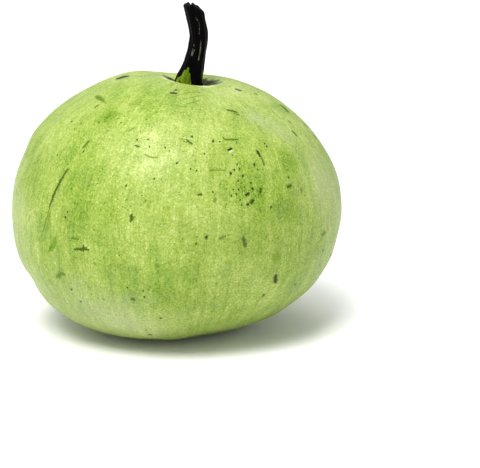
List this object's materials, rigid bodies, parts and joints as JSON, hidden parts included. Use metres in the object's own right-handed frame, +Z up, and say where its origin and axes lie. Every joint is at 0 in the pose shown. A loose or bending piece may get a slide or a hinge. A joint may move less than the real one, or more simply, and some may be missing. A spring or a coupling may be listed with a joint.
{
  "type": "bottle gourd",
  "caption": "Whole fresh round bottle gourd, squat and slightly lopsided, standing on its blossom end with a short curved dry stem in the cavity on top.",
  "frame": {"origin": "centre of the bounding box's underside, level with the flat resting spot under the blossom end", "axes": "+Z up from the blossom end to the stem; +X to the side that the crown and the stem lean to; -Y to the side that the picture looks at"},
  "size_m": [0.1708, 0.1706, 0.169],
  "materials": {
    "skin": "satin pale green skin with a thin greyish bloom, darker green mottling, specks, scratches and scars",
    "dry_stem": "near-black dried stem, ridged and slightly glossy, green at its foot"
  },
  "bodies": {
    "root": {"fruit": "skin", "stem": "dry_stem"}
  },
  "joints": []
}
